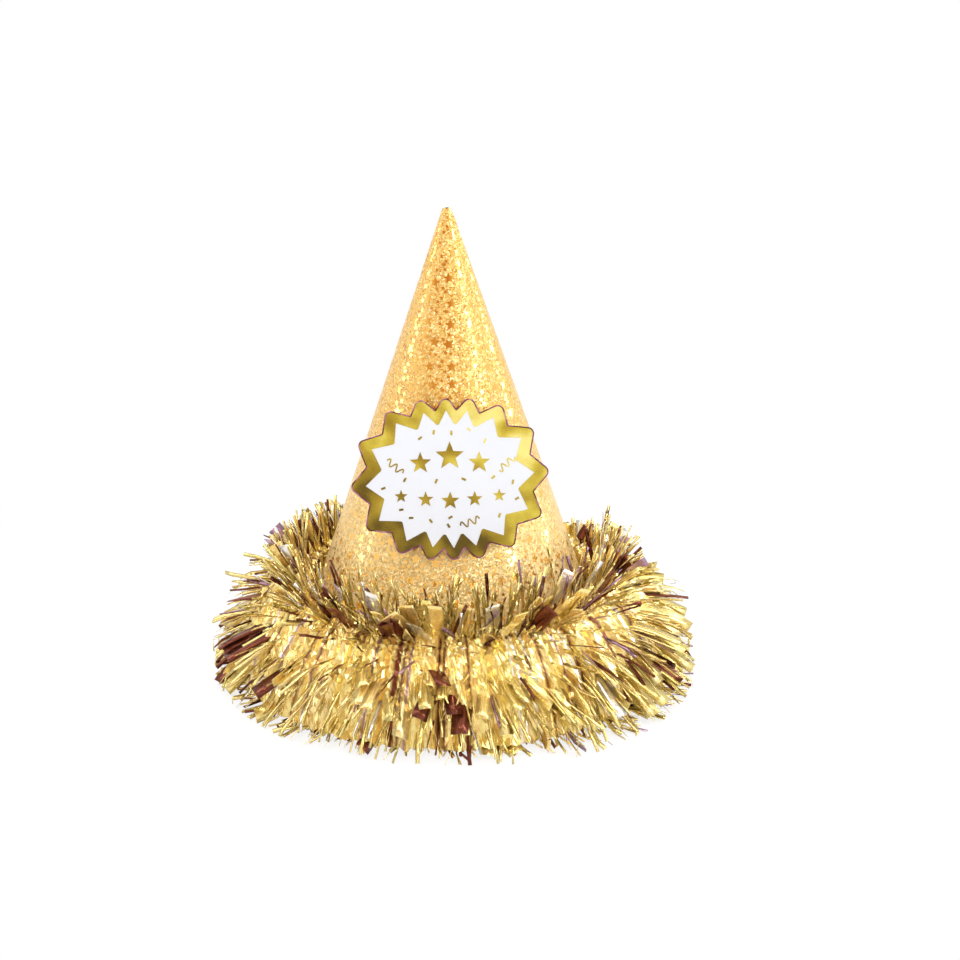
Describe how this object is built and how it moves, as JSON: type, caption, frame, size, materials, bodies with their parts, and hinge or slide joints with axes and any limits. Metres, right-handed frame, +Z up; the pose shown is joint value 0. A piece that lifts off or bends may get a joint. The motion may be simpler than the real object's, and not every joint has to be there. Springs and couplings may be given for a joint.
{
  "type": "party hat",
  "caption": "Rolled card party hat with star foil, a starburst badge on a foam pad and a gold tinsel garland round the rim.",
  "frame": {"origin": "on the surface that the hat stands on, straight under the tip of the cone", "axes": "+Z up along the cone's axis to its tip, -Y towards the badge on the front, +X to the wearer's left, which is the viewer's right"},
  "size_m": [0.2178, 0.218, 0.2179],
  "materials": {
    "star_card": "card faced with glittering film and foil stars",
    "badge_card": "smooth white art card",
    "gold_foil": "hot-stamped mirror foil",
    "foam": "closed-cell foam",
    "thread": "twisted cotton thread",
    "fine_film": "metallised film, slit fine",
    "wide_film": "metallised film, cut wide",
    "glue": "hot-melt glue"
  },
  "bodies": {
    "root": {"cone": "star_card", "badge_card": "badge_card", "badge_foil": "gold_foil", "badge_pad": "foam", "tinsel_core": "thread", "tinsel_fine_film": "fine_film", "tinsel_wide_film": "wide_film", "tinsel_glue": "glue"}
  },
  "joints": []
}
